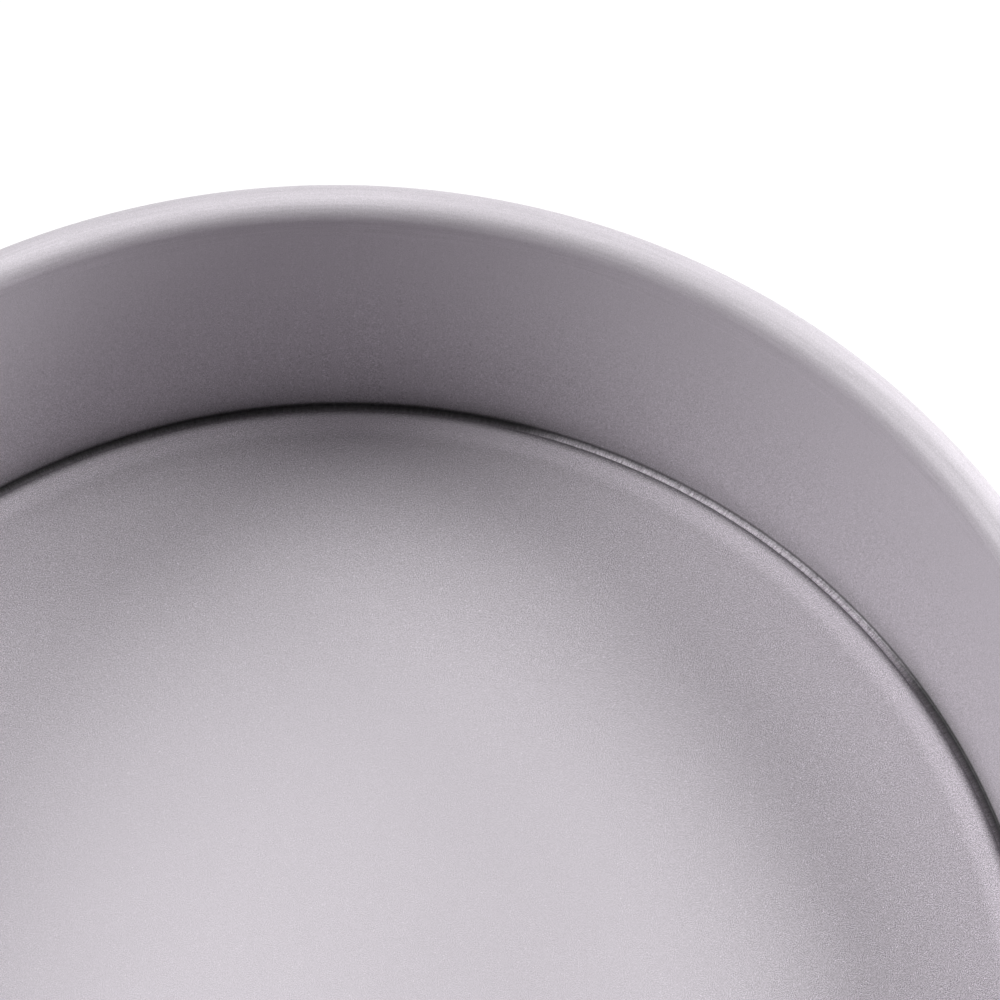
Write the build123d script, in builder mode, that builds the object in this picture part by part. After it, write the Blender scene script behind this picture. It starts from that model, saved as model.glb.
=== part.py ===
from build123d import *
from math import acos, degrees
import os

# Round cake tin with a loose push-up base. Lengths are in millimetres.
# The tin stands on the plane z = 0 and its axis of revolution is +Z.

# Driving dimensions
inside_diameter = 203.0
overall_height = 54.5
sheet_thickness = 1.2
base_thickness = 1.5

# Side ring: one drawn sheet with a ledge turned in at the foot and a bead rolled out at the rim
ledge_width = 6.0
foot_inner_radius = 0.3
rim_bore_diameter = 3.6
curl_end_gap = 0.4

# Loose base: a flat disc that drops down the wall and lies on the ledge
base_side_clearance = 1.4

# Roundings, as shares of the sheet that carries them
sheared_edge_share = 0.3
base_top_edge_share = 0.8
base_bottom_edge_share = 0.15

# Places that follow from the sizes above
inside_radius = inside_diameter / 2
ledge_edge_radius = inside_radius - ledge_width
foot_centre_radius = inside_radius - foot_inner_radius
foot_centre_height = sheet_thickness + foot_inner_radius
bead_radius = rim_bore_diameter / 2 + sheet_thickness
bead_centre_radius = inside_radius + bead_radius
bead_centre_height = overall_height - bead_radius
base_radius = inside_radius - base_side_clearance

# The curl starts where the wall meets the bead, at 180 degrees, and runs over the top and down
# outside until its end comes within the end gap of the wall's outer face.
curl_end_cosine = (sheet_thickness + curl_end_gap) / bead_radius - 1
curl_turn = 180 + degrees(acos(curl_end_cosine))


def sheet_face(depth):
    """Draws one face of the ring's sheet, at a depth below the face that the cake touches."""
    ledge_height = sheet_thickness - depth
    wall_radius = inside_radius + depth
    Line((ledge_edge_radius, ledge_height), (foot_centre_radius, ledge_height))
    CenterArc((foot_centre_radius, foot_centre_height), foot_inner_radius + depth, -90, 90)
    Line((wall_radius, foot_centre_height), (wall_radius, bead_centre_height))
    return CenterArc((bead_centre_radius, bead_centre_height), bead_radius - depth, 180, -curl_turn)


# Side ring
with BuildPart() as side_ring:
    with BuildSketch(Plane.XZ) as ring_section:
        with BuildLine():
            inner_curl = sheet_face(0)
            outer_curl = sheet_face(sheet_thickness)
            curl_end = Line(inner_curl @ 1, outer_curl @ 1)
            Line((ledge_edge_radius, 0), (ledge_edge_radius, sheet_thickness))
        make_face()
        ledge_corners = ring_section.vertices().group_by(Axis.X)[0]
        curl_corners = ring_section.vertices().sort_by_distance(curl_end @ 0.5)[:2]
        fillet(ledge_corners + curl_corners, radius=sheared_edge_share * sheet_thickness)
    revolve(axis=Axis.Z)
side_ring.part.label = "side_ring"

# Loose base
with BuildPart() as loose_base:
    with BuildSketch(Plane.XY.offset(sheet_thickness)):
        Circle(base_radius)
    extrude(amount=base_thickness)
    fillet(loose_base.edges().group_by(Axis.Z)[-1], radius=base_top_edge_share * base_thickness)
    fillet(loose_base.edges().group_by(Axis.Z)[0], radius=base_bottom_edge_share * base_thickness)
loose_base.part.label = "loose_base"

os.makedirs("parts", exist_ok=True)
for piece in (side_ring, loose_base):
    export_step(piece.part, f"parts/{piece.part.label}.step")
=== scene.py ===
"""Looks of a loose-bottom round cake tin in satin silver anodised aluminium.

The frame gives the sizes. Both pieces are surfaces of revolution about +Z, in metres.
Names that end in _mm are millimetres, and all other lengths are metres.
"""

import logging
import math
from dataclasses import dataclass
from enum import Enum

import bpy
import numpy as np
from mathutils import Matrix, Vector


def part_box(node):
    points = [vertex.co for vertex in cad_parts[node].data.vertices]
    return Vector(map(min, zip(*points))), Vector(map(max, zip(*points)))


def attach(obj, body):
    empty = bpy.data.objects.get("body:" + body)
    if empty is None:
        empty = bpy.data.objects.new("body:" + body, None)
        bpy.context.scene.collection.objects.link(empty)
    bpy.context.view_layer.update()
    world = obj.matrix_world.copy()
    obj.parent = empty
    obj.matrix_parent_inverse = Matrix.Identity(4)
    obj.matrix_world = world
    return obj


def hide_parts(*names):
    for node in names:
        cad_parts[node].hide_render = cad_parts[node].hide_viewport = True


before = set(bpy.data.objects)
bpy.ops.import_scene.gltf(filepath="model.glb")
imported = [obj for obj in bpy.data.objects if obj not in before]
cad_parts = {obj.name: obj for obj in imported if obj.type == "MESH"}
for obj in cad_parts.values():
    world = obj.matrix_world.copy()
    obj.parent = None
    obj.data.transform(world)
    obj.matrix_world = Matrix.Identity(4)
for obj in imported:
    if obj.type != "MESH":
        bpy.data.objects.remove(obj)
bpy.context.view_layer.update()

LOG = logging.getLogger("cake_tin")
MM = 0.001
IMAGE_SIDE_PX = 1000
SENSOR_MM = 36.0


class Part(Enum):
    """The two pieces of the tin, by their nodes in the frame."""

    RING = "side_ring"
    BASE = "loose_base"


def srgb(hex_colour: str) -> tuple[float, float, float, float]:
    """Turns an sRGB hex colour into linear red, green, blue and alpha.

    Args:
        hex_colour: Six hex digits, such as "cccad0".

    Returns:
        The linear colour with an alpha of one.
    """
    value = np.array([int(hex_colour[i:i + 2], 16) for i in (0, 2, 4)]) / 255
    linear = np.where(value <= 0.04045, value / 12.92, ((value + 0.055) / 1.055) ** 2.4)
    return (*linear.tolist(), 1.0)


def add_node(
    tree: bpy.types.NodeTree, kind: str, inputs: dict | None = None, **options: object
) -> bpy.types.Node:
    """Adds a node, sets its options and fills its sockets.

    Args:
        tree: The node tree that gets the node.
        kind: Blender's name of the node's type.
        inputs: For each input socket's name or number, a value or the output socket that feeds it.
        **options: The node's own settings, such as operation.

    Returns:
        The new node.
    """
    node = tree.nodes.new(kind)
    for option, value in options.items():
        setattr(node, option, value)
    for socket, value in (inputs or {}).items():
        if isinstance(value, bpy.types.NodeSocket):
            tree.links.new(value, node.inputs[socket])
        else:
            node.inputs[socket].default_value = value
    return node


def straight(start: tuple[float, float], end: tuple[float, float], rows: int) -> np.ndarray:
    """Points along a straight stretch of a section, its end left to the next stretch.

    Point k is start + (1 - cos(pi k / rows)) / 2 of the way to the end, so rows crowd at both
    ends and a smooth shade doesn't run from a bend into a flat.

    Args:
        start: Radius and height of the first point.
        end: Radius and height where the next stretch starts.
        rows: Number of steps.

    Returns:
        An array of rows points.
    """
    share = (1 - np.cos(np.linspace(0, np.pi, rows + 1)[:-1])) / 2
    first, last = np.array(start), np.array(end)
    return first + share[:, None] * (last - first)


def arc(
    centre: tuple[float, float], radius: float, start_deg: float, turn_deg: float, rows: int
) -> np.ndarray:
    """Points along a round stretch of a section: centre + radius (cos t, sin t).

    Args:
        centre: Radius and height of the arc's centre.
        radius: The arc's radius.
        start_deg: Angle of the first point, from the outward direction.
        turn_deg: How far the arc turns, positive anticlockwise.
        rows: Number of steps.

    Returns:
        An array of rows points, without the arc's end.
    """
    t = np.radians(start_deg + turn_deg * np.linspace(0, 1, rows + 1)[:-1])
    return np.array(centre) + radius * np.stack([np.cos(t), np.sin(t)], axis=1)


def polar(centre: tuple[float, float], radius: float, angle_deg: float) -> tuple[float, float]:
    """Gives the point at a radius and an angle from a centre in the section's plane."""
    angle = math.radians(angle_deg)
    return centre[0] + radius * math.cos(angle), centre[1] + radius * math.sin(angle)


def revolve(name: str, section: np.ndarray, segments: int) -> bpy.types.Object:
    """Turns a section about the Z axis into a closed, smooth mesh.

    Grid point (i, j) is (r cos a, r sin a, z) with a = 2 pi j / segments, and r and z from the
    section's point i. A section that starts and ends on the axis gets one vertex at each pole,
    and any other section is closed on itself.

    Args:
        name: The new object's name.
        section: Radii and heights, in an order that has the solid at the right hand.
        segments: Number of steps round the axis.

    Returns:
        The new object, linked to the scene.
    """
    poles = section[0, 0] == 0 and section[-1, 0] == 0
    rows = section[1:-1] if poles else section
    angle = np.linspace(0, 2 * np.pi, segments, endpoint=False)
    height = np.broadcast_to(rows[:, 1:], (len(rows), segments))
    grid = np.stack([rows[:, :1] * np.cos(angle), rows[:, :1] * np.sin(angle), height], axis=2)
    points = grid.reshape(-1, 3)
    index = np.arange(len(points)).reshape(len(rows), segments)
    near = index[:-1] if poles else index
    far = np.roll(index, -1, axis=0)[:len(near)]
    quads = np.stack([near, far, np.roll(far, -1, axis=1), np.roll(near, -1, axis=1)], axis=2)
    loops = quads.ravel()
    starts = np.arange(len(loops) // 4) * 4
    if poles:
        ends = len(points) + np.arange(2)
        points = np.vstack([points, [[0, 0, section[0, 1]], [0, 0, section[-1, 1]]]])
        head = np.stack([np.full(segments, ends[0]), index[0], np.roll(index[0], -1)], axis=1)
        tail = np.stack([np.full(segments, ends[1]), np.roll(index[-1], -1), index[-1]], axis=1)
        starts = np.concatenate([starts, len(loops) + np.arange(2 * segments) * 3])
        loops = np.concatenate([loops, head.ravel(), tail.ravel()])
    mesh = bpy.data.meshes.new(name)
    mesh.vertices.add(len(points))
    mesh.vertices.foreach_set("co", points.astype(np.float32).ravel())
    mesh.loops.add(len(loops))
    mesh.loops.foreach_set("vertex_index", loops.astype(np.int32))
    mesh.polygons.add(len(starts))
    mesh.polygons.foreach_set("loop_start", starts.astype(np.int32))
    mesh.polygons.foreach_set("use_smooth", np.ones(len(starts), bool))
    mesh.update(calc_edges=True)
    mesh.validate()
    piece = bpy.data.objects.new(name, mesh)
    bpy.context.scene.collection.objects.link(piece)
    return piece


@dataclass(frozen=True)
class TurnedPlace:
    """Where a point lies on a turned shape: its radius, its height and its unit bearing."""

    radius: bpy.types.NodeSocket
    height: bpy.types.NodeSocket
    bearing: bpy.types.NodeSocket

    @classmethod
    def build(cls, tree: bpy.types.NodeTree, place: bpy.types.NodeSocket) -> "TurnedPlace":
        """Works the three out of the object's coordinates.

        Args:
            tree: The material's tree.
            place: The object's coordinates.

        Returns:
            The three sockets: the radius and the height in metres, the bearing as a vector.
        """
        parts = add_node(tree, "ShaderNodeSeparateXYZ", {0: place})
        flat = add_node(
            tree, "ShaderNodeCombineXYZ", {0: parts.outputs["X"], 1: parts.outputs["Y"]})
        radius = add_node(tree, "ShaderNodeVectorMath", {0: flat.outputs[0]}, operation="LENGTH")
        unit = add_node(
            tree, "ShaderNodeVectorMath", {0: flat.outputs[0]}, operation="NORMALIZE")
        return cls(radius.outputs["Value"], parts.outputs["Z"], unit.outputs["Vector"])


def ramp(
    tree: bpy.types.NodeTree, value: bpy.types.NodeSocket, start: float, end: float,
    low: float = 0.0, high: float = 1.0, smooth: bool = False
) -> bpy.types.NodeSocket:
    """Adds a ramp that is low at start and before it, and high at end and past it.

    Args:
        tree: The material's tree.
        value: What the ramp reads.
        start: The value at the ramp's low end.
        end: The value at its high end.
        low: What it gives there.
        high: What it gives at the end.
        smooth: Whether both ends are rounded off.

    Returns:
        The ramp's output.
    """
    node = add_node(
        tree, "ShaderNodeMapRange", {0: value, 1: start, 2: end, 3: low, 4: high},
        interpolation_type="SMOOTHSTEP" if smooth else "LINEAR")
    return node.outputs[0]


@dataclass(frozen=True)
class Streaks:
    """Fine tool marks that follow the turned shape, in a band of heights.

    A mark is round_mm long round the axis and section_mm long across the section. The rolled
    bead's marks run round the rim, and those of the ledge, which was drawn in, run radially.
    They are drawn about twice as coarse as real ones, which would be lost between the pixels.
    """

    round_mm: float
    section_mm: float
    low_mm: float
    high_mm: float
    contrast: float

    def build(
        self, tree: bpy.types.NodeTree, place: TurnedPlace, base: bpy.types.NodeSocket,
        radius_mm: float = 100.0
    ) -> bpy.types.NodeSocket:
        """Adds the marks to a brightness.

        The noise has four coordinates: the radius and the height in section lengths, and the
        unit bearing's two parts times the tin's radius in round lengths, so that it closes on
        itself without a seam.

        Args:
            tree: The material's tree.
            place: Where a point lies on the turned shape.
            base: The brightness without the marks.
            radius_mm: The tin's radius, which turns a bearing into a length.

        Returns:
            The brightness with the marks.
        """
        bearing = add_node(
            tree, "ShaderNodeVectorMath",
            {0: place.bearing, "Scale": radius_mm / self.round_mm}, operation="SCALE")
        bearing = add_node(tree, "ShaderNodeSeparateXYZ", {0: bearing.outputs["Vector"]})
        across = add_node(
            tree, "ShaderNodeMath", {0: place.radius, 1: 1 / (self.section_mm * MM)},
            operation="MULTIPLY")
        upward = add_node(
            tree, "ShaderNodeMath", {0: place.height, 1: 1 / (self.section_mm * MM)},
            operation="MULTIPLY")
        where = add_node(
            tree, "ShaderNodeCombineXYZ",
            {0: across.outputs[0], 1: upward.outputs[0], 2: bearing.outputs["X"]})
        marks = add_node(
            tree, "ShaderNodeTexNoise",
            {"Vector": where.outputs[0], "W": bearing.outputs["Y"], "Scale": 1.0,
             "Detail": 1.0}, noise_dimensions="4D")
        above = ramp(tree, place.height, self.low_mm * MM, (self.low_mm + 0.1) * MM)
        below = ramp(tree, place.height, self.high_mm * MM, (self.high_mm - 0.1) * MM)
        band = add_node(tree, "ShaderNodeMath", {0: above, 1: below}, operation="MULTIPLY")
        centred = add_node(
            tree, "ShaderNodeMath",
            {0: marks.outputs["Fac"], 1: 2 * self.contrast, 2: -self.contrast},
            operation="MULTIPLY_ADD")
        total = add_node(
            tree, "ShaderNodeMath", {0: centred.outputs[0], 1: band.outputs[0], 2: base},
            operation="MULTIPLY_ADD")
        return total.outputs[0]


@dataclass(frozen=True)
class PaintedCornerShade:
    """Painted shade in the corner between the wall and the ledge, where the groove lies in shadow.

    It is darkest in the corner and fades inwards over the ledge and up the wall. Along one arc
    the ledge is painted bright instead, a painted lit strip where a soft box shines into the
    groove. It gives the eye the black line round the base and the bright strip at its right.
    """

    wall_radius: float
    ledge_height: float
    # The painted shade: its darkest share in the corner, and how far it fades over the ledge and
    # up the wall.
    corner: float = 0.05
    ledge_fade_mm: float = 2.6
    wall_start_mm: float = 0.1
    wall_fade_mm: float = 0.9
    # The painted lit strip: the bearing of its arc's middle, its half width, its share in the
    # corner and its gain.
    lit_strip_bearing_deg: float = 36.0
    lit_strip_half_deg: float = 18.0
    lit_strip_corner: float = 0.35
    lit_strip_gain: float = 1.7

    def build(
        self, tree: bpy.types.NodeTree, place: TurnedPlace, base: bpy.types.NodeSocket
    ) -> bpy.types.NodeSocket:
        """Darkens a brightness in the corner as painted shade, and brightens one arc as painted
        light.

        Args:
            tree: The material's tree.
            place: Where a point lies on the turned shape.
            base: The brightness without the painted shade and light.

        Returns:
            The brightness with the painted shade and light.
        """
        wall, ledge = self.wall_radius, self.ledge_height
        foot = ledge + self.wall_start_mm * MM
        up = ramp(tree, place.height, foot, foot + self.wall_fade_mm * MM)
        # Painted shade, darkest in the corner where the groove is in shadow.
        painted_shade = ramp(
            tree, place.radius, wall, wall - self.ledge_fade_mm * MM, self.corner, 1.0, True)
        painted_shade = add_node(tree, "ShaderNodeMath", {0: up, 1: painted_shade}, operation="ADD")
        painted_shade = add_node(tree, "ShaderNodeMath", {0: painted_shade.outputs[0], 1: 1.0}, operation="MINIMUM")
        # Painted light: one arc of the ledge is made brighter, where a soft box lights the groove.
        painted_light = ramp(
            tree, place.radius, wall, wall - 0.8 * MM, self.lit_strip_corner, self.lit_strip_gain)
        painted_light = add_node(tree, "ShaderNodeMath", {0: up, 1: painted_light}, operation="MAXIMUM")
        centre = math.radians(self.lit_strip_bearing_deg)
        toward = add_node(
            tree, "ShaderNodeVectorMath",
            {0: place.bearing, 1: (math.sin(centre), math.cos(centre), 0)},
            operation="DOT_PRODUCT")
        outer = math.cos(math.radians(self.lit_strip_half_deg + 5))
        inner = math.cos(math.radians(self.lit_strip_half_deg - 5))
        arc_share = ramp(tree, toward.outputs["Value"], outer, inner, smooth=True)
        shade = add_node(
            tree, "ShaderNodeMix", {0: arc_share, 2: painted_shade.outputs[0], 3: painted_light.outputs[0]})
        above = ramp(tree, place.height, ledge * 0.5, ledge * 0.6)
        inside = ramp(tree, place.radius, wall + 0.6 * MM, wall + 0.5 * MM)
        reach = add_node(tree, "ShaderNodeMath", {0: above, 1: inside}, operation="MULTIPLY")
        shade = add_node(
            tree, "ShaderNodeMix", {0: reach.outputs[0], 2: 1.0, 3: shade.outputs[0]})
        total = add_node(
            tree, "ShaderNodeMath", {0: base, 1: shade.outputs[0]}, operation="MULTIPLY")
        return total.outputs[0]


@dataclass(frozen=True)
class PaintedEdgeShade:
    """Painted shade round the base's rounded edge, where it sinks into the shaded groove.

    Just inside it a narrow band is brighter. The four distances are
    how far in from the edge the shade and the band are full, and where they end.
    """

    edge_radius: float
    # Where the painted shade and the brighter band are full and where they end, in from the edge.
    shade_full_mm: float = 0.3
    shade_end_mm: float = 2.1
    band_full_mm: float = 3.3
    band_end_mm: float = 5.6
    dark: float = 0.42
    band_gain: float = 1.22

    def build(
        self, tree: bpy.types.NodeTree, place: TurnedPlace, base: bpy.types.NodeSocket
    ) -> bpy.types.NodeSocket:
        """Brightens and then darkens a brightness towards the edge.

        Args:
            tree: The material's tree.
            place: Where a point lies on the turned shape.
            base: The brightness without the band and the painted shade.

        Returns:
            The brightness with them.
        """
        edge = self.edge_radius
        bright_band = ramp(
            tree, place.radius, edge - self.band_end_mm * MM, edge - self.band_full_mm * MM,
            1.0, self.band_gain, True)
        # Painted shade over the rounded edge, which lies in the groove's shadow.
        painted_shade = ramp(
            tree, place.radius, edge - self.shade_end_mm * MM, edge - self.shade_full_mm * MM,
            1.0, self.dark / self.band_gain, True)
        shade = add_node(tree, "ShaderNodeMath", {0: bright_band, 1: painted_shade}, operation="MULTIPLY")
        total = add_node(
            tree, "ShaderNodeMath", {0: base, 1: shade.outputs[0]}, operation="MULTIPLY")
        return total.outputs[0]


class Along(Enum):
    """What a change over a piece follows."""

    RADIUS = "radius"
    HEIGHT = "height"


@dataclass(frozen=True)
class Slide:
    """A value that changes over a piece, such as how strong the blasted grain is."""

    along: Along
    start_mm: float
    end_mm: float
    first: float
    last: float

    def build(self, tree: bpy.types.NodeTree, place: TurnedPlace) -> bpy.types.NodeSocket:
        """Adds the value: first up to start_mm, last past end_mm, and a ramp between.

        Args:
            tree: The material's tree.
            place: Where a point lies on the turned shape.

        Returns:
            The value's socket.
        """
        value = place.radius if self.along is Along.RADIUS else place.height
        return ramp(
            tree, value, self.start_mm * MM, self.end_mm * MM, self.first, self.last, True)


@dataclass(frozen=True)
class SatinAnodised:
    """Silver anodised aluminium, matt from a fine blasting under its clear oxide skin.

    The skin scatters light so widely that the metal shows soft tones and no mirror image. The
    blasting shows as a very fine grain, whose sparkle is painted in as bright grains, and handling
    leaves faint clouds in the gloss.
    """

    name: str
    colour: str = "c1bcc2"
    # Bare satin metal starts at 1 and 0.4. The milky oxide skin scatters much of the light.
    metallic: float = 0.3
    roughness: float = 0.5
    # The real grain is about 0.05 mm and is drawn coarser, so that a pixel can show it.
    grain_mm: float = 0.15
    grain_contrast: float = 0.75
    coarse_grain_mm: float = 0.5
    coarse_contrast: float = 0.08
    # Glints are painted into the colour as bright grains.
    glint_mm: float = 0.14
    glint_share: float = 0.012
    glint_gain: float = 0.25
    cloud_mm: float = 22.0
    cloud_gloss: float = 0.03
    bump_mm: float = 0.03
    grain_share: Slide = Slide(Along.RADIUS, 0.0, 1.0, 1.0, 1.0)
    matt_share: Slide = Slide(Along.RADIUS, 0.0, 1.0, 0.0, 0.0)
    # Besides real tool streaks, the marks hold painted shade in the groove and a painted lit
    # strip.
    marks: tuple[Streaks | PaintedCornerShade | PaintedEdgeShade, ...] = ()

    def build(self) -> bpy.types.Material:
        """Makes the material.

        Returns:
            The new material.
        """
        material = bpy.data.materials.new(self.name)
        material.use_nodes = True
        tree = material.node_tree
        tree.nodes.clear()
        place = add_node(tree, "ShaderNodeTexCoord").outputs["Object"]
        fine = self.noise(tree, place, self.grain_mm, 1.0)
        grain = self.swing(tree, fine, self.grain_contrast, 0.0)
        coarse = self.noise(tree, place, self.coarse_grain_mm, 1.0)
        grain = self.swing(tree, coarse, self.coarse_contrast, grain)
        grain = self.glints(tree, place, grain)
        turned = TurnedPlace.build(tree, place)
        share = self.grain_share.build(tree, turned)
        brightness = add_node(
            tree, "ShaderNodeMath", {0: grain, 1: share, 2: 1.0},
            operation="MULTIPLY_ADD").outputs[0]
        for mark in self.marks:
            brightness = mark.build(tree, turned, brightness)
        tint = add_node(
            tree, "ShaderNodeVectorMath",
            {0: srgb(self.colour)[:3], "Scale": brightness}, operation="SCALE")
        cloud = self.noise(tree, place, self.cloud_mm, 3.0)
        matt = add_node(
            tree, "ShaderNodeMath",
            {0: self.matt_share.build(tree, turned), 1: self.roughness}, operation="ADD")
        gloss = self.swing(tree, cloud, self.cloud_gloss, matt.outputs[0])
        bump = add_node(
            tree, "ShaderNodeBump",
            {"Height": fine, "Strength": 1.0, "Distance": self.bump_mm * MM})
        shader = add_node(
            tree, "ShaderNodeBsdfPrincipled",
            {"Base Color": tint.outputs["Vector"], "Metallic": self.metallic,
             "Roughness": gloss, "Normal": bump.outputs["Normal"]})
        add_node(tree, "ShaderNodeOutputMaterial", {"Surface": shader.outputs["BSDF"]})
        return material

    def noise(
        self, tree: bpy.types.NodeTree, place: bpy.types.NodeSocket, size_mm: float, detail: float
    ) -> bpy.types.NodeSocket:
        """Adds a noise with patches of a size in millimetres.

        Args:
            tree: The material's tree.
            place: The coordinates that the noise reads.
            size_mm: Width of a patch.
            detail: How many finer layers it has.

        Returns:
            The noise's factor, about 0.5 on average.
        """
        node = add_node(
            tree, "ShaderNodeTexNoise",
            {"Vector": place, "Scale": 1 / (size_mm * MM), "Detail": detail})
        return node.outputs["Fac"]

    def swing(
        self, tree: bpy.types.NodeTree, fac: bpy.types.NodeSocket, size: float,
        base: bpy.types.NodeSocket | float
    ) -> bpy.types.NodeSocket:
        """Adds a noise's swing about its middle to a value: base + size (2 fac - 1).

        Args:
            tree: The material's tree.
            fac: The noise's factor.
            size: The largest swing.
            base: The value that it swings about.

        Returns:
            The sum.
        """
        centred = add_node(
            tree, "ShaderNodeMath", {0: fac, 1: 2.0, 2: -1.0}, operation="MULTIPLY_ADD")
        total = add_node(
            tree, "ShaderNodeMath", {0: centred.outputs[0], 1: size, 2: base},
            operation="MULTIPLY_ADD")
        return total.outputs[0]

    def glints(
        self, tree: bpy.types.NodeTree, place: bpy.types.NodeSocket, base: bpy.types.NodeSocket
    ) -> bpy.types.NodeSocket:
        """Adds sparse bright grains, one cell in many, to a brightness: painted glints.

        Args:
            tree: The material's tree.
            place: The coordinates that the cells read.
            base: The brightness without them.

        Returns:
            The brightness with them.
        """
        cells = add_node(
            tree, "ShaderNodeTexVoronoi", {"Vector": place, "Scale": 1 / (self.glint_mm * MM)})
        pick = add_node(tree, "ShaderNodeSeparateColor", {0: cells.outputs["Color"]})
        bright = add_node(
            tree, "ShaderNodeMath", {0: pick.outputs[0], 1: 1 - self.glint_share},
            operation="GREATER_THAN")
        total = add_node(
            tree, "ShaderNodeMath", {0: bright.outputs[0], 1: self.glint_gain, 2: base},
            operation="MULTIPLY_ADD")
        return total.outputs[0]


@dataclass
class SideRing:
    """The wall, its rolled rim and the ledge at its foot, one drawn sheet."""

    sheet: float = 1.2 * MM
    rim_bore: float = 3.6 * MM
    ledge_width: float = 6.0 * MM
    foot_inner_radius: float = 0.3 * MM
    curl_end_gap: float = 0.4 * MM
    sheared_radius: float = 0.36 * MM
    segments: int = 480

    @property
    def bead(self) -> float:
        """Radius of the bead's outside."""
        return self.rim_bore / 2 + self.sheet

    @property
    def wall_radius(self) -> float:
        """Radius of the wall's inner face, from the frame's box."""
        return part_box(Part.RING.value)[1].x - 2 * self.bead

    def section(self) -> np.ndarray:
        """Works out the sheet's closed section from the frame's box.

        The outline runs out along the ledge, up the wall's inner face, over the bead and round to
        the curl's sheared end, back inside the curl, down the wall's outer face and in under the
        ledge to its edge.

        Returns:
            Radii and heights of the section's points.
        """
        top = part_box(Part.RING.value)[1].z
        bead, bore, wall = self.bead, self.rim_bore / 2, self.wall_radius
        ledge = wall - self.ledge_width
        foot = (wall - self.foot_inner_radius, self.sheet + self.foot_inner_radius)
        rim = (wall + bead, top - bead)
        edge = self.sheared_radius
        tip = -math.degrees(math.acos((self.sheet + self.curl_end_gap) / bead - 1))
        outer_tip = tip + math.degrees(edge / bead)
        inner_tip = tip + math.degrees(edge / bore)
        return np.vstack([
            straight((ledge + edge, self.sheet), (foot[0], self.sheet), 12),
            arc(foot, self.foot_inner_radius, -90, 90, 6),
            straight((wall, foot[1]), (wall, rim[1]), 20),
            arc(rim, bead, 180, outer_tip - 180, 52),
            arc(polar(rim, bead - edge, outer_tip), edge, outer_tip, -90, 4),
            arc(polar(rim, bore + edge, inner_tip), edge, inner_tip - 90, -90, 4),
            arc(rim, bore, inner_tip, 180 - inner_tip, 28),
            straight((wall + self.sheet, rim[1]), (wall + self.sheet, foot[1]), 14),
            arc(foot, self.foot_inner_radius + self.sheet, 0, -90, 8),
            straight((foot[0], 0.0), (ledge + edge, 0.0), 10),
            arc((ledge + edge, edge), edge, -90, -90, 4),
            straight((ledge, edge), (ledge, self.sheet - edge), 2),
            arc((ledge + edge, self.sheet - edge), edge, 180, -90, 4),
        ])

    def finish(self) -> SatinAnodised:
        """Describes the ring's finish.

        Rolling has flattened the grain on the bead and left streaks round it, and the oxide
        skin is rougher there. Drawing left radial streaks on the ledge. The corner at the ledge
        gets painted shade, and one arc of it a painted lit strip.

        Returns:
            The finish.
        """
        rolled = Streaks(round_mm=9.0, section_mm=0.3, low_mm=48.0, high_mm=60.0, contrast=0.12)
        drawn = Streaks(round_mm=0.22, section_mm=0.9, low_mm=0.0, high_mm=1.6, contrast=0.8)
        # Painted shade in the corner, with a painted lit strip on one arc of the ledge.
        corner = PaintedCornerShade(wall_radius=self.wall_radius, ledge_height=self.sheet)
        return SatinAnodised(
            "satin_anodised_aluminium_ring",
            grain_share=Slide(Along.HEIGHT, start_mm=8.0, end_mm=51.0, first=1.35, last=0.4),
            matt_share=Slide(Along.HEIGHT, start_mm=49.0, end_mm=52.0, first=0.0, last=0.14),
            marks=(rolled, drawn, corner))

    def build(self) -> bpy.types.Object:
        """Builds the ring, dresses it and sets it on its body.

        Returns:
            The new piece.
        """
        piece = revolve("drawn_ring", self.section(), self.segments)
        piece.data.materials.append(self.finish().build())
        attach(piece, "ring")
        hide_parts(Part.RING.value)
        return piece


@dataclass
class LooseBase:
    """The flat disc that lies on the ledge."""

    top_edge_share: float = 0.8
    bottom_edge_share: float = 0.15
    segments: int = 480

    def section(self) -> np.ndarray:
        """Works out the disc's section, from the top's centre to the underside's centre.

        Returns:
            Radii and heights of the section's points.
        """
        low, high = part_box(Part.BASE.value)
        thickness = high.z - low.z
        radius = high.x
        top = self.top_edge_share * thickness
        bottom = self.bottom_edge_share * thickness
        return np.vstack([
            straight((0.0, high.z), (radius - top, high.z), 50),
            arc((radius - top, high.z - top), top, 90, -90, 16),
            straight((radius, high.z - top), (radius, low.z + bottom), 3),
            arc((radius - bottom, low.z + bottom), bottom, 0, -90, 4),
            straight((radius - bottom, low.z), (0.0, low.z), 30),
            [[0.0, low.z]],
        ])

    def finish(self) -> SatinAnodised:
        """Describes the disc's finish, whose grain is coarser towards the edge, with painted shade
        at the edge.

        Returns:
            The finish.
        """
        return SatinAnodised(
            "satin_anodised_aluminium_base",
            grain_share=Slide(Along.RADIUS, start_mm=35.0, end_mm=88.0, first=0.6, last=1.9),
            # Painted shade round the edge, with a brighter band just inside it.
            marks=(PaintedEdgeShade(edge_radius=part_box(Part.BASE.value)[1].x),))

    def build(self) -> bpy.types.Object:
        """Builds the disc, dresses it and sets it on its body.

        Returns:
            The new piece.
        """
        piece = revolve("base_disc", self.section(), self.segments)
        piece.data.materials.append(self.finish().build())
        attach(piece, "base")
        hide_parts(Part.BASE.value)
        return piece


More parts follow.
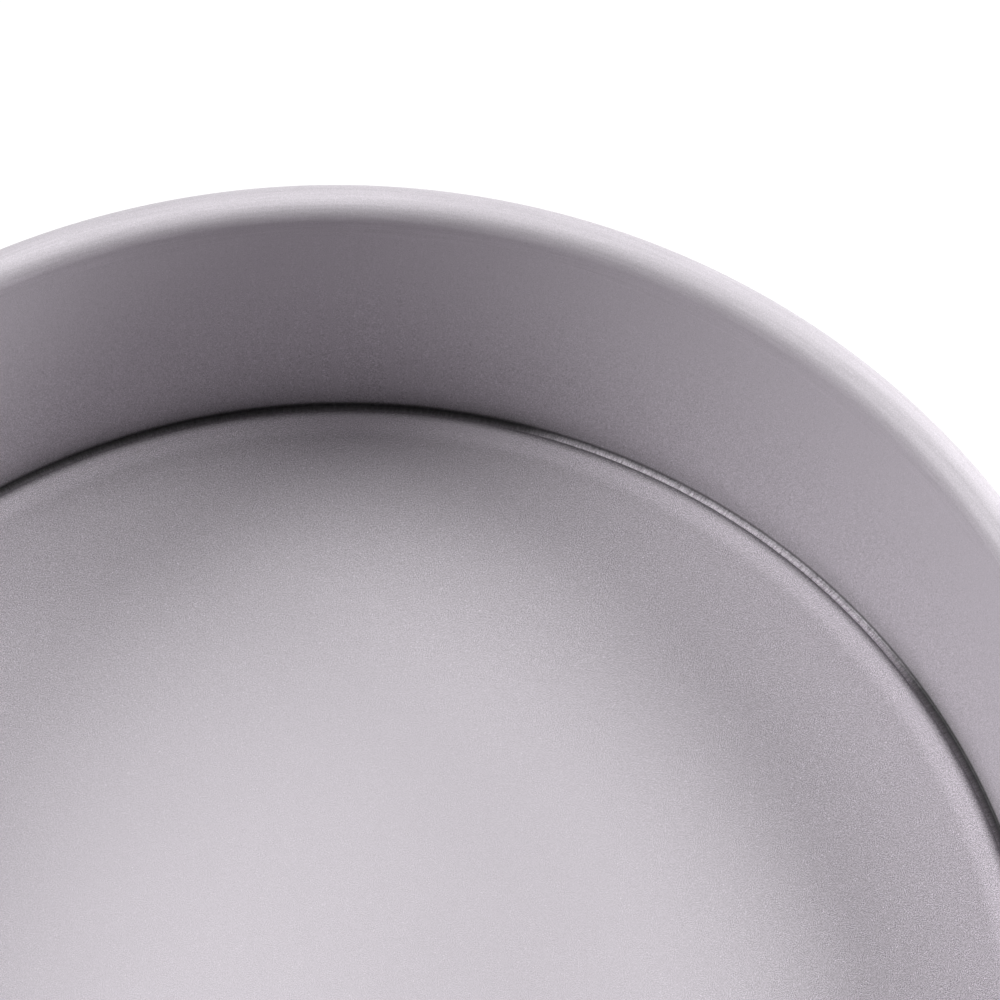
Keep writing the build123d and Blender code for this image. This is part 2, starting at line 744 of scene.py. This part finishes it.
@dataclass(frozen=True)
class PhotoCamera:
    """The camera, placed by where the base's centre lies in the picture."""

    lens_mm: float = 114.5
    elevation_deg: float = 60.1
    roll_deg: float = 1.4
    distance: float = 0.452
    base_centre_px: tuple[float, float] = (334.7, 1007.9)

    def build(self) -> bpy.types.Object:
        """Makes the camera and hands it to the scene.

        The view looks along +Y and down by the elevation, and rolls about its own axis. The ray
        through the base's centre pixel then fixes where the camera stands.

        Returns:
            The camera.
        """
        pitch, roll = math.radians(self.elevation_deg), math.radians(self.roll_deg)
        forward = Vector((0, math.cos(pitch), -math.sin(pitch)))
        right = Vector((1, 0, 0))
        up = right.cross(forward)
        side = math.cos(roll) * right + math.sin(roll) * up
        top = -math.sin(roll) * right + math.cos(roll) * up
        focal_px = self.lens_mm / SENSOR_MM * IMAGE_SIDE_PX
        across = (self.base_centre_px[0] - IMAGE_SIDE_PX / 2) / focal_px
        down = (self.base_centre_px[1] - IMAGE_SIDE_PX / 2) / focal_px
        ray = forward + across * side - down * top
        target = Vector((0, 0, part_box(Part.BASE.value)[1].z))
        data = bpy.data.cameras.new("photo_camera")
        data.sensor_width = SENSOR_MM
        data.lens = self.lens_mm
        data.clip_start = 0.01
        camera = bpy.data.objects.new("photo_camera", data)
        turn = Matrix((side, top, -forward)).transposed().to_4x4()
        camera.matrix_world = Matrix.Translation(target - self.distance * ray) @ turn
        bpy.context.scene.collection.objects.link(camera)
        bpy.context.scene.camera = camera
        return camera


@dataclass(frozen=True)
class SoftLamp:
    """A round soft box that faces the tin, at a bearing as it has from the tin."""

    name: str
    azimuth_deg: float
    elevation_deg: float
    spread_deg: float
    level: float

    def build(self, distance: float) -> bpy.types.Object:
        """Makes the lamp.

        Azimuth 0 stands in front, on -Y, and 90 at the right, on +X. The face's radius is
        distance tan(spread), and a face of level 1 is as bright as white paper: its power is
        pi times its area times its level.

        Args:
            distance: How far the lamp stands from the tin.

        Returns:
            The lamp.
        """
        radius = distance * math.tan(math.radians(self.spread_deg))
        data = bpy.data.lights.new(self.name, "AREA")
        data.shape = "DISK"
        data.size = 2 * radius
        data.energy = self.level * math.pi * math.pi * radius ** 2
        azimuth, elevation = math.radians(self.azimuth_deg), math.radians(self.elevation_deg)
        flat = math.cos(elevation)
        away = Vector((flat * math.sin(azimuth), -flat * math.cos(azimuth), math.sin(elevation)))
        lamp = bpy.data.objects.new(self.name, data)
        lamp.location = away * distance
        lamp.rotation_euler = away.to_track_quat("Z", "Y").to_euler()
        lamp.visible_camera = False
        bpy.context.scene.collection.objects.link(lamp)
        return lamp


@dataclass
class Studio:
    """A white floor in a dark tent, with a few round soft boxes.

    The tent keeps everything but the soft boxes and the floor out of the metal. The camera sees
    through it to a white surround.
    """

    floor_side: float = 6.0
    floor_drop: float = 0.05 * MM
    floor_lift: float = 0.8
    tent_radius: float = 2.6
    lamp_distance: float = 1.7
    lamps: tuple[SoftLamp, ...] = (
        SoftLamp("left_box", 263, 39, 11.8, 19.5),
        SoftLamp("right_box", 110, 50, 10.7, 14.6),
        SoftLamp("low_right_box", 108, 22, 12.6, 18.0),
        SoftLamp("back_box", 146, 43.5, 11.0, 2.4),
        SoftLamp("top_left_box", 289, 55, 6.6, 3.4),
        SoftLamp("back_left_box", 196, 61, 5.3, 2.4),
        SoftLamp("top_box", 353, 88, 19.5, 0.66),
    )

    def build(self) -> None:
        """Makes the floor, the tent, the surround and the lamps."""
        self.build_floor()
        self.build_tent()
        self.build_surround()
        for lamp in self.lamps:
            lamp.build(self.lamp_distance)

    def build_floor(self) -> None:
        """Makes the floor: matt white paper, lifted towards white in the eye and in the metal."""
        half = self.floor_side / 2
        low = -self.floor_drop
        corners = [(-half, -half, low), (half, -half, low), (half, half, low), (-half, half, low)]
        mesh = bpy.data.meshes.new("floor")
        mesh.from_pydata(corners, [], [(0, 1, 2, 3)])
        material = bpy.data.materials.new("matt_white_paper")
        material.use_nodes = True
        tree = material.node_tree
        tree.nodes.clear()
        paper = add_node(tree, "ShaderNodeBsdfDiffuse", {"Color": srgb("f4f4f4")})
        glow = add_node(tree, "ShaderNodeEmission", {"Color": srgb("ffffff"), "Strength": 1.0})
        path = add_node(tree, "ShaderNodeLightPath")
        seen = add_node(
            tree, "ShaderNodeMath",
            {0: path.outputs["Is Camera Ray"], 1: path.outputs["Is Glossy Ray"]},
            operation="MAXIMUM")
        seen = add_node(
            tree, "ShaderNodeMath",
            {0: seen.outputs[0], 1: path.outputs["Is Transmission Ray"]}, operation="MAXIMUM")
        share = add_node(
            tree, "ShaderNodeMath", {0: seen.outputs[0], 1: self.floor_lift},
            operation="MULTIPLY")
        mix = add_node(
            tree, "ShaderNodeMixShader",
            {0: share.outputs[0], 1: paper.outputs[0], 2: glow.outputs[0]})
        add_node(tree, "ShaderNodeOutputMaterial", {"Surface": mix.outputs[0]})
        material.cycles.emission_sampling = "NONE"
        self.set_stage("floor", mesh, material)

    def build_tent(self) -> None:
        """Makes the tent: half a sphere of dark cloth that the camera looks through.

        Grid point (i, j) is R (cos e cos a, cos e sin a, sin e), with the elevation e from row i
        and the azimuth a from column j.
        """
        rows, columns = 12, 48
        elevation = np.linspace(0, np.pi / 2, rows)[:, None]
        azimuth = np.linspace(0, 2 * np.pi, columns, endpoint=False)[None, :]
        flat = np.cos(elevation)
        height = np.sin(elevation) + 0 * azimuth
        grid = np.stack([flat * np.cos(azimuth), flat * np.sin(azimuth), height], axis=2)
        index = np.arange(rows * columns).reshape(rows, columns)
        ahead = np.roll(index, -1, axis=1)
        faces = np.stack([index[:-1], index[1:], ahead[1:], ahead[:-1]], axis=2).reshape(-1, 4)
        mesh = bpy.data.meshes.new("dark_tent")
        mesh.from_pydata((grid * self.tent_radius).reshape(-1, 3).tolist(), [], faces.tolist())
        material = bpy.data.materials.new("dark_cloth")
        material.use_nodes = True
        tree = material.node_tree
        tree.nodes.clear()
        cloth = add_node(tree, "ShaderNodeBsdfDiffuse", {"Color": srgb("3a3a3a")})
        add_node(tree, "ShaderNodeOutputMaterial", {"Surface": cloth.outputs[0]})
        self.set_stage("dark_tent", mesh, material).visible_camera = False

    def set_stage(
        self, name: str, mesh: bpy.types.Mesh, material: bpy.types.Material
    ) -> bpy.types.Object:
        """Puts a mesh into the scene as a part of the stage.

        Args:
            name: The object's name.
            mesh: Its mesh.
            material: Its material.

        Returns:
            The new object.
        """
        mesh.materials.append(material)
        thing = bpy.data.objects.new(name, mesh)
        bpy.context.scene.collection.objects.link(thing)
        return thing

    def build_surround(self) -> None:
        """Makes the world behind the tent: plain white."""
        world = bpy.data.worlds.new("white_surround")
        world.use_nodes = True
        tree = world.node_tree
        tree.nodes.clear()
        white = add_node(
            tree, "ShaderNodeBackground", {"Color": srgb("ffffff"), "Strength": 1.0})
        add_node(tree, "ShaderNodeOutputWorld", {"Surface": white.outputs[0]})
        bpy.context.scene.world = world


def main() -> None:
    """Builds the tin's pieces, the camera and the studio."""
    logging.basicConfig(level=logging.INFO, format="%(name)s: %(message)s")
    bpy.context.scene.view_settings.view_transform = "Standard"
    PhotoCamera().build()
    for piece in (SideRing().build(), LooseBase().build()):
        LOG.info("%s: %d faces", piece.name, len(piece.data.polygons))
    Studio().build()


if __name__ == "__main__":
    main()
